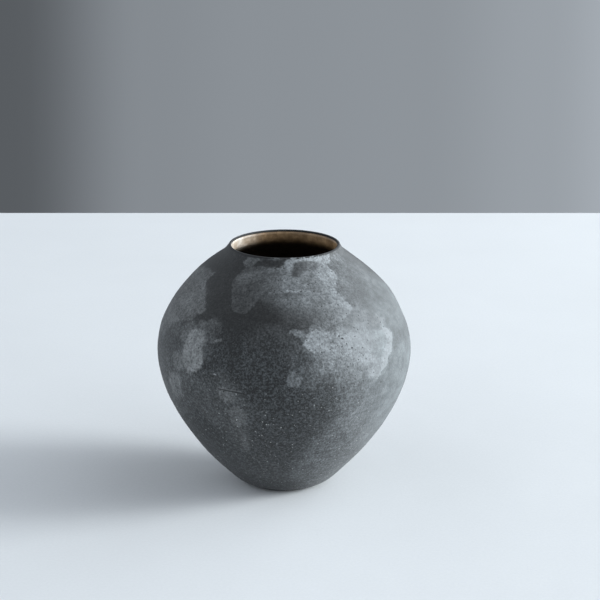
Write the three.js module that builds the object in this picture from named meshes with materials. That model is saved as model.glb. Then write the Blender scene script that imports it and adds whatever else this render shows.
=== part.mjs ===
// Hand-thrown stoneware vase: a wide globular pot on a small foot ring, with a
// narrow mouth and a short collar that thins to a fine lip.
//
// Frame: millimetres, +Z up, origin at the centre of the footprint, on the
// plane that the foot stands on. The pot is turned about Z.
//
// Three solids, one inside another:
//   stoneware_body  the thrown clay wall, floor and foot ring
//   outer_slip      the dark slip coat on the outside, over the lip
//   liner_glaze     the glaze that lines the inside
// The wall surface is described once, as a chain of stations that runs from
// the foot up the outside, over the lip and down the inside to the middle of
// the floor. Each solid is cut from that chain by offsetting it into the wall.

import * as THREE from "three";

// ---- driving dimensions, mm ----
const HEIGHT = 157; // foot plane to the crest of the lip
const SEGMENTS = 48; // facets round the pot
const COAT = 0.3; // thickness of the slip and of the glaze
const GAP = 0.2; // clearance between a coat and the clay
const SLIP_IN = 0.3; // how far the slip reaches down inside the lip

const LIP_RADIUS = 0.8; // half the lip's thickness, a full round
const LIP_CENTRE_R = 34.0; // radius of the lip's centre line
const LIP_CENTRE_Z = HEIGHT - LIP_RADIUS;

const FOOT_OUTER_R = 24.2; // flat foot ring, outer edge
const FOOT_INNER_R = 17; // flat foot ring, inner edge
const RECESS_R = 15.2; // where the recess under the floor turns flat
const RECESS_Z = 2.2; // depth of that recess
const FLOOR_Z = 8; // top of the floor at its middle

// Outside of the pot, [radius, height], from the slip's lower edge to the lip.
const OUTSIDE = [
  [25.9, 1.05],
  [29.2, 2.6],
  [33.2, 5.6],
  [38.6, 10.9],
  [45.6, 18.3],
  [52.6, 26.3],
  [59.4, 35.2],
  [65.6, 44.6],
  [71.0, 54.5],
  [75.5, 65.0],
  [78.6, 76.0],
  [80.0, 86.8],
  [79.5, 97.4],
  [76.7, 107.3],
  [72.1, 117.0],
  [65.8, 126.6],
  [57.4, 135.7],
  [48.6, 143.5],
  [40.6, 149.7],
  [37.7, 152.2],
  [36.5, 153.7],
  [35.45, 155.3],
];

// Inside of the pot, from under the glaze's upper edge to the floor.
const INSIDE = [
  [33.2, 150.92],
  [33.65, 149.1],
  [34.8, 147.7],
  [40.0, 143.7],
  [47.7, 137.6],
  [55.0, 130.8],
  [61.9, 123.0],
  [67.6, 114.2],
  [71.8, 104.9],
  [74.3, 95.0],
  [74.6, 85.6],
  [72.9, 75.8],
  [69.6, 65.4],
  [64.9, 55.2],
  [58.8, 44.9],
  [51.6, 34.8],
  [43.6, 25.3],
  [35.0, 16.6],
  [26.6, 10.9],
  [15.0, 8.5],
  [0, FLOOR_Z],
];

// ---- the chain of stations ----
function lipStations() {
  const out = [];
  for (let i = 0; i <= 4; i++) {
    const a = (i * Math.PI) / 4;
    out.push([
      LIP_CENTRE_R + LIP_RADIUS * Math.cos(a),
      LIP_CENTRE_Z + LIP_RADIUS * Math.sin(a),
    ]);
  }
  return out;
}

const innerFaceR = LIP_CENTRE_R - LIP_RADIUS;
const slipEndZ = LIP_CENTRE_Z - SLIP_IN;
const glazeTopZ = slipEndZ - GAP;
const slipChain = [...OUTSIDE, ...lipStations(), [innerFaceR, slipEndZ]];
const glazeChain = [[innerFaceR, glazeTopZ], ...INSIDE];
const wholeChain = [...OUTSIDE, ...lipStations(), ...INSIDE];

// Offsets a chain into the wall, which lies on the left of its direction of
// travel, so that each new edge is parallel to the old one at that distance.
function offset(chain, distance) {
  const normal = (a, b) => {
    const dr = b[0] - a[0],
      dz = b[1] - a[1],
      l = Math.hypot(dr, dz);
    return [-dz / l, dr / l];
  };
  return chain.map((p, i) => {
    const n1 = i > 0 ? normal(chain[i - 1], p) : normal(p, chain[i + 1]);
    let n2 = i < chain.length - 1 ? normal(p, chain[i + 1]) : n1;
    if (p[0] === 0) n2 = [-n1[0], n1[1]]; // the floor meets its mirror image on the axis
    const mr = n1[0] + n2[0],
      mz = n1[1] + n2[1];
    const k = (2 * distance) / (mr * mr + mz * mz);
    return [p[0] + k * mr, p[1] + k * mz];
  });
}

// A solid of revolution about Z from [radius, height] stations in order.
function turned(name, stations, material) {
  const points = stations.map(([r, z]) => new THREE.Vector2(r, z));
  const geometry = new THREE.LatheGeometry(points, SEGMENTS);
  geometry.rotateX(Math.PI / 2);
  const mesh = new THREE.Mesh(geometry, material);
  mesh.name = name;
  return mesh;
}

const clay = new THREE.MeshStandardMaterial({
  color: 0x8a6f55,
  roughness: 0.85,
  metalness: 0,
});
const slip = new THREE.MeshStandardMaterial({
  color: 0x33322d,
  roughness: 0.55,
  metalness: 0,
});
const glaze = new THREE.MeshStandardMaterial({
  color: 0xa58a66,
  roughness: 0.35,
  metalness: 0,
});

// Clay: recess, flat foot ring, then the wall under both coats.
const clayWall = offset(wholeChain, COAT + GAP);
const bodyStations = [
  [0, RECESS_Z],
  [RECESS_R, RECESS_Z],
  [FOOT_INNER_R, 0],
  [FOOT_OUTER_R, 0],
  [FOOT_OUTER_R + 0.7, 0.55],
  ...clayWall,
];

// Slip: the chain and its offset, closed on itself.
const slipInner = offset(slipChain, COAT);
const slipStations = [...slipChain, ...slipInner.reverse(), slipChain[0]];

// Glaze: the chain down to the middle of the floor, and its offset back up.
const glazeInner = offset(glazeChain, COAT);
const glazeStations = [
  glazeInner[glazeInner.length - 1],
  ...glazeInner.slice(0, -1).reverse(),
  ...glazeChain,
];

const vase = new THREE.Group();
vase.name = "stoneware_vase";
vase.add(turned("stoneware_body", bodyStations, clay));
vase.add(turned("outer_slip", slipStations, slip));
vase.add(turned("liner_glaze", glazeStations, glaze));

export default vase;
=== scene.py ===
# Looks of a hand-thrown stoneware vase: a dark matt slip coat with pale washes
# brushed over it, a tan glaze inside and a bare clay foot.
# Every piece is a closed turned mesh made here, in metres, in the frame of the
# imported part. All colour comes from shader nodes. The pale washes, and the pale
# hazes on the right side and left edge that are partly painted light, are laid out
# as outlines on the pot's surface, as (azimuth in degrees, height in mm).
import math

import bpy
import numpy as np
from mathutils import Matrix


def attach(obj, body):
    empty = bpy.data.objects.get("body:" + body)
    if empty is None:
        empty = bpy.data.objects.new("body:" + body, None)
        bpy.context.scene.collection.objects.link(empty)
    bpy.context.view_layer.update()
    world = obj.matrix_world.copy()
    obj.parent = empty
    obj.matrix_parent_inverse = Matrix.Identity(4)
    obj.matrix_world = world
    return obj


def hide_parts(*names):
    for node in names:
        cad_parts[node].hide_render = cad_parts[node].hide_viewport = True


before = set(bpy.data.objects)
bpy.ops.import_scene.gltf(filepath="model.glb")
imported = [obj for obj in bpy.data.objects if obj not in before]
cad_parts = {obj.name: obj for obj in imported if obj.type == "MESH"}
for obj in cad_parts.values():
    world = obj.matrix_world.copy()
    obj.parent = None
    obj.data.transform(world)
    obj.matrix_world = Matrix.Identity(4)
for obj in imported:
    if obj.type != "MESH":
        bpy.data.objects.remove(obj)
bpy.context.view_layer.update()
scene = bpy.context.scene
MM = 0.001

# ---------------------------------------------------------------- camera
cam_data = bpy.data.cameras.new("camera")
cam_data.sensor_width = 36.0
cam_data.lens = 120.0
cam_data.clip_start = 0.05
cam_data.clip_end = 60.0
cam = bpy.data.objects.new("camera", cam_data)
cam.location = (0.01003, -1.20439, 0.48997)
cam.rotation_euler = (math.radians(90 - 17.0876), 0, 0)
scene.collection.objects.link(cam)
scene.camera = cam


# ---------------------------------------------------------------- profiles
# Outside surface, [radius, height] in mm, from the slip's lower edge to under
# the collar; then the fine round lip; then the inside, down to the floor.
OUTSIDE = [
    (25.30, 0.95), (25.95, 1.12), (27.3, 1.75), (29.2, 2.70), (31.2, 3.98),
    (33.1, 5.50), (37.1, 9.42), (43.2, 15.7), (50.4, 23.55), (57.8, 32.97),
    (65.2, 43.95), (71.15, 54.94), (75.8, 65.93), (78.4, 75.35), (79.85, 84.0),
    (79.9, 93.0), (77.9, 103.6), (74.03, 113.02), (68.84, 122.44),
    (61.2, 131.86), (53.2, 139.71), (45.5, 145.99), (40.33, 149.91),
    (37.9, 151.9), (36.85, 153.1), (35.9, 154.5), (35.15, 155.7),
]
LIP_R, LIP_C = 0.8, (34.0, 156.2)
INSIDE = [
    (33.2, 155.7), (33.2, 153.4), (33.2, 151.4), (33.42, 149.75), (34.6, 147.9),
    (37.0, 145.95), (42.5, 141.8), (49.6, 135.9), (56.6, 129.2), (63.0, 121.4),
    (68.3, 112.8), (72.2, 103.6), (74.35, 94.4), (74.6, 85.6), (72.9, 75.8),
    (69.6, 65.4), (64.9, 55.2), (58.8, 44.9), (51.6, 34.8), (43.6, 25.3),
    (35.0, 16.9), (26.6, 11.3), (15.0, 8.7), (7.0, 8.1), (0.0, 8.0),
]
COAT, GAP = 0.3, 0.2


def smooth_path(points, step):
    """Centripetal Catmull-Rom through the points, resampled at even steps of arc length."""
    p = np.array(points, float)
    p = np.vstack([2 * p[0] - p[1], p, 2 * p[-1] - p[-2]])
    out = []
    for i in range(1, len(p) - 2):
        p0, p1, p2, p3 = p[i - 1], p[i], p[i + 1], p[i + 2]
        t0 = 0.0
        t1 = t0 + np.linalg.norm(p1 - p0) ** 0.5
        t2 = t1 + np.linalg.norm(p2 - p1) ** 0.5
        t3 = t2 + np.linalg.norm(p3 - p2) ** 0.5
        t = np.linspace(t1, t2, 24, endpoint=False)[:, None]
        a1 = (t1 - t) / (t1 - t0) * p0 + (t - t0) / (t1 - t0) * p1
        a2 = (t2 - t) / (t2 - t1) * p1 + (t - t1) / (t2 - t1) * p2
        a3 = (t3 - t) / (t3 - t2) * p2 + (t - t2) / (t3 - t2) * p3
        b1 = (t2 - t) / (t2 - t0) * a1 + (t - t0) / (t2 - t0) * a2
        b2 = (t3 - t) / (t3 - t1) * a2 + (t - t1) / (t3 - t1) * a3
        out.append((t2 - t) / (t2 - t1) * b1 + (t - t1) / (t2 - t1) * b2)
    q = np.vstack(out + [p[-2][None]])
    s = np.concatenate([[0], np.cumsum(np.linalg.norm(np.diff(q, axis=0), axis=1))])
    n = max(2, int(round(s[-1] / step)) + 1)
    u = np.linspace(0, s[-1], n)
    return np.column_stack([np.interp(u, s, q[:, 0]), np.interp(u, s, q[:, 1])])


def lip_arc(n):
    a = np.linspace(0, math.pi, n)
    return np.column_stack([LIP_C[0] + LIP_R * np.cos(a), LIP_C[1] + LIP_R * np.sin(a)])


def normals(path):
    """Normals of an open path, on its right as it travels: away from the wall."""
    t = np.gradient(path, axis=0)
    t /= np.maximum(np.linalg.norm(t, axis=1)[:, None], 1e-9)
    return np.column_stack([t[:, 1], -t[:, 0]])


def inward(path, distance):
    return path - normals(path) * distance


# ---------------------------------------------------------------- seeded noise
def lattice(ix, iy, iz, seed):
    h = (
        ix.astype(np.int64) * 374761393
        + iy.astype(np.int64) * 668265263
        + iz.astype(np.int64) * 2147483647
        + seed * 974634777
    ) & 0xFFFFFFFF
    h = ((h ^ (h >> 13)) * 1274126177) & 0xFFFFFFFF
    h = ((h ^ (h >> 16)) * 2246822519) & 0xFFFFFFFF
    h = h ^ (h >> 15)
    return (h & 0xFFFFFF) / float(0xFFFFFF)


def noise3(x, y, z, seed=0):
    """Smooth value noise in -1..1."""
    fx, fy, fz = np.floor(x), np.floor(y), np.floor(z)
    ux, uy, uz = x - fx, y - fy, z - fz
    ux, uy, uz = (u * u * u * (u * (u * 6 - 15) + 10) for u in (ux, uy, uz))
    out = 0
    for dx in (0, 1):
        for dy in (0, 1):
            for dz in (0, 1):
                w = (ux if dx else 1 - ux) * (uy if dy else 1 - uy) * (uz if dz else 1 - uz)
                out = out + w * lattice(fx + dx, fy + dy, fz + dz, seed)
    return out * 2 - 1


# The pot's centre wanders a little with height, as a hand-thrown pot's does.
WANDER_Z = np.array([0, 15, 45, 88, 112, 125, 143, 152, 157.5])
WANDER_X = np.array([-0.10, -0.38, 0.0, 0.05, -0.15, 0.18, -0.55, 0.0, 0.30])
WANDER_Y = np.array([0.0, 0.15, 0.25, 0.0, -0.2, -0.1, 0.15, 0.1, 0.0])


def soft_interp(z, zs, vs):
    """Interpolates with smooth steps between the given heights."""
    z = np.clip(z, zs[0], zs[-1])
    i = np.clip(np.searchsorted(zs, z, side="right") - 1, 0, len(zs) - 2)
    t = (z - zs[i]) / (zs[i + 1] - zs[i])
    t = t * t * (3 - 2 * t)
    return vs[i] * (1 - t) + vs[i + 1] * t


def turned(name, path, segments, closed, relief=None):
    """A closed turned mesh. path is (radius, height) in mm: a loop if closed, else it starts and ends on the axis.
    relief gives a distance in mm along each point's normal. Returns the object and each vertex's azimuth and path index."""
    path = np.array(path, float)
    k = len(path)
    if closed:
        ring = np.vstack([path[-1], path, path[0]])
        tan = ring[2:] - ring[:-2]
    else:
        tan = np.gradient(path, axis=0)
    tan /= np.maximum(np.linalg.norm(tan, axis=1)[:, None], 1e-9)
    nrm = np.column_stack([tan[:, 1], -tan[:, 0]])
    az = np.arange(segments) * 2 * math.pi / segments
    rows = range(k) if closed else range(1, k - 1)
    rows = list(rows)
    R = np.repeat(path[rows, 0][:, None], segments, 1)
    Z = np.repeat(path[rows, 1][:, None], segments, 1)
    A = np.repeat(az[None], len(rows), 0)
    NR = np.repeat(nrm[rows, 0][:, None], segments, 1)
    NZ = np.repeat(nrm[rows, 1][:, None], segments, 1)
    IDX = np.repeat(np.array(rows)[:, None], segments, 1)
    if relief is not None:
        d = relief(A, R, Z, IDX)
        R = R + NR * d
        Z = Z + NZ * d
    Z = Z - 0.2 * (1 - np.cos(A)) * np.clip((Z - 137) / 20, 0, 1) ** 2  # the rim isn't quite level
    X = R * np.sin(A) + soft_interp(Z, WANDER_Z, WANDER_X)
    Y = -R * np.cos(A) + soft_interp(Z, WANDER_Z, WANDER_Y)
    verts = np.column_stack([X.ravel(), Y.ravel(), Z.ravel()])
    faces = []
    m = len(rows)
    j = np.arange(segments)
    jn = (j + 1) % segments
    for i in range(m if closed else m - 1):
        a = i * segments
        b = ((i + 1) % m) * segments
        faces.append(np.column_stack([a + j, a + jn, b + jn, b + j]))
    quads = np.vstack(faces)
    tris = np.zeros((0, 3), int)
    if not closed:
        lo = np.array([[WANDER_X[0], WANDER_Y[0], path[0, 1]]])
        hi_z = path[-1, 1]
        hi = np.array(
            [[soft_interp(np.array([hi_z]), WANDER_Z, WANDER_X)[0], soft_interp(np.array([hi_z]), WANDER_Z, WANDER_Y)[0], hi_z]]
        )
        verts = np.vstack([verts, lo, hi])
        first, last = m * segments, m * segments + 1
        top = (m - 1) * segments
        tris = np.vstack(
            [
                np.column_stack([np.full(segments, first), jn, j]),
                np.column_stack([np.full(segments, last), top + j, top + jn]),
            ]
        )
    me = bpy.data.meshes.new(name)
    polys = [tuple(int(v) for v in f) for f in quads] + [tuple(int(v) for v in f) for f in tris]
    me.from_pydata([tuple(v * MM) for v in verts], [], polys)
    me.polygons.foreach_set("use_smooth", [True] * len(me.polygons))
    me.update()
    ob = bpy.data.objects.new(name, me)
    scene.collection.objects.link(ob)
    return ob, A.ravel(), IDX.ravel(), R.ravel(), Z.ravel()


def make_outward(ob):
    """Turns every face out, by the sign of the mesh's volume."""
    me = ob.data
    me.calc_loop_triangles()
    co = np.zeros(len(me.vertices) * 3)
    me.vertices.foreach_get("co", co)
    co = co.reshape(-1, 3)
    tri = np.zeros(len(me.loop_triangles) * 3, np.int32)
    me.loop_triangles.foreach_get("vertices", tri)
    t = co[tri.reshape(-1, 3)]
    if np.einsum("ij,ij->i", t[:, 0], np.cross(t[:, 1], t[:, 2])).sum() < 0:
        me.flip_normals()
    return ob


# ---------------------------------------------------------------- the three pieces
out_path = smooth_path(OUTSIDE + [(34.8, 156.2)], 1.25)
lip_path = lip_arc(11)
lip_in = smooth_path([(33.2, 156.2), (33.2, 156.05), (33.2, 155.9)], 0.15)
skin = np.vstack([out_path[:-1], lip_path, lip_in[1:]])
skin_length = np.concatenate([[0], np.cumsum(np.linalg.norm(np.diff(skin, axis=0), axis=1))])
COLLAR = int(np.searchsorted(out_path[:, 1], 141.0))  # above this the wall curves in, so every point is kept
back_pick = list(range(len(skin) - 1, COLLAR, -1)) + list(range(COLLAR, 0, -5)) + [0]
back = inward(skin, COAT)[back_pick]
slip_loop = np.vstack([skin, back])
N_SKIN = len(skin)


def outer_relief(A, R, Z):
    """Hand-thrown relief in mm: a slow lumpiness, faint throwing ridges that climb as they go round, and brush drag."""
    x, y = R * np.sin(A), -R * np.cos(A)
    d = 0.20 * noise3(x / 38, y / 38, Z / 34, 3) + 0.07 * noise3(x / 13, y / 13, Z / 9, 5)
    climb = Z + 3.6 * A / (2 * math.pi)
    ridge = np.sin(2 * math.pi * (climb / 4.4 + 0.35 * noise3(x / 60, y / 60, Z / 22, 7)))
    d = d + 0.03 * ridge * (0.55 + 0.45 * noise3(x / 45, y / 45, Z / 15, 9))
    d = d + 0.015 * noise3(x / 9, y / 9, Z / 2.4, 11)
    return d * np.clip((Z - 1.5) / 6, 0, 1) * np.clip((157.6 - Z) / 5, 0.1, 1)


def inner_relief(A, R, Z):
    """Throwing rings, left plainer inside than out."""
    x, y = R * np.sin(A), -R * np.cos(A)
    climb = Z + 4.6 * A / (2 * math.pi)
    d = 0.11 * np.sin(2 * math.pi * (climb / 5.2 + 0.3 * noise3(x / 50, y / 50, Z / 20, 21)))
    d = d + 0.10 * noise3(x / 14, y / 14, Z / 8, 23)
    return d * np.clip((155.4 - Z) / 6, 0, 1) * np.clip(R / 12, 0, 1)


def slip_relief(A, R, Z, IDX):
    return outer_relief(A, R, Z) * np.where(IDX < N_SKIN, 1.0, -1.0)  # the hidden side follows the shown side


slip, s_az, s_idx, s_r, s_z = turned("slip_coat", slip_loop, 360, True, slip_relief)
make_outward(slip)

inner_core = smooth_path(INSIDE, 1.7)
inner_core[-1] = (0.0, inner_core[-1, 1])
inner_face = inner_core
N_INNER = len(inner_face)
behind = inner_face + normals(inner_face) * -COAT
behind = np.vstack([behind[:12], behind[12::3]])
behind[-1] = (0.0, inner_face[-1, 1] - COAT)
behind = behind[behind[:, 0] > -1e-6]
liner_path = np.vstack([behind[::-1], inner_face])


N_BEHIND = len(behind)


def liner_relief(A, R, Z, IDX):
    return inner_relief(A, R, Z) * np.where(IDX < N_BEHIND, -1.0, 1.0)


liner, l_az, l_idx, l_r, l_z = turned("inner_glaze", liner_path, 320, False, liner_relief)
make_outward(liner)

wall_skin = inward(skin, COAT + GAP)
wall_out = wall_skin[list(range(4, COLLAR, 3)) + list(range(COLLAR, len(skin) - 1))]
wall_in = inward(inner_face, COAT + GAP)
wall_in = wall_in[list(range(1, 12)) + list(range(12, len(wall_in) - 1, 3))]
FOOT = smooth_path([(17.0, 0.35), (17.5, 0.06), (18.2, 0.0), (20.6, 0.0), (23.2, 0.0), (24.0, 0.08), (24.45, 0.45), (24.75, 0.95)], 0.35)
under = smooth_path([(0.0, 2.2), (7.0, 2.18), (13.2, 2.12), (15.6, 1.7), (16.6, 0.9), (17.0, 0.35)], 0.6)
body_path = np.vstack([under[:-1], FOOT, wall_out, wall_in, [(0.0, inner_face[-1, 1] - COAT - GAP)]])
body_path[0, 0] = 0.0
OUT_FROM = len(under) - 1 + len(FOOT)
IN_FROM = OUT_FROM + len(wall_out)


def body_relief(A, R, Z, IDX):
    """Trimming marks under the foot; the wall follows the coats."""
    x, y = R * np.sin(A), -R * np.cos(A)
    d = 0.035 * np.sin(2 * math.pi * R / 1.5 + 2.0 * noise3(x / 9, y / 9, Z / 9, 31)) + 0.05 * noise3(x / 5, y / 5, Z / 5, 33)
    d = d * (Z < 2.4) * (Z > 0.25) * np.clip(R / 4, 0, 1) * (R < 16.8)
    d = np.where((IDX >= OUT_FROM) & (IDX < IN_FROM), outer_relief(A, R, Z), d)
    return np.where(IDX >= IN_FROM, inner_relief(A, R, Z), d)


body, b_az, b_idx, b_r, b_z = turned("clay_body", body_path, 256, False, body_relief)
make_outward(body)
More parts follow.
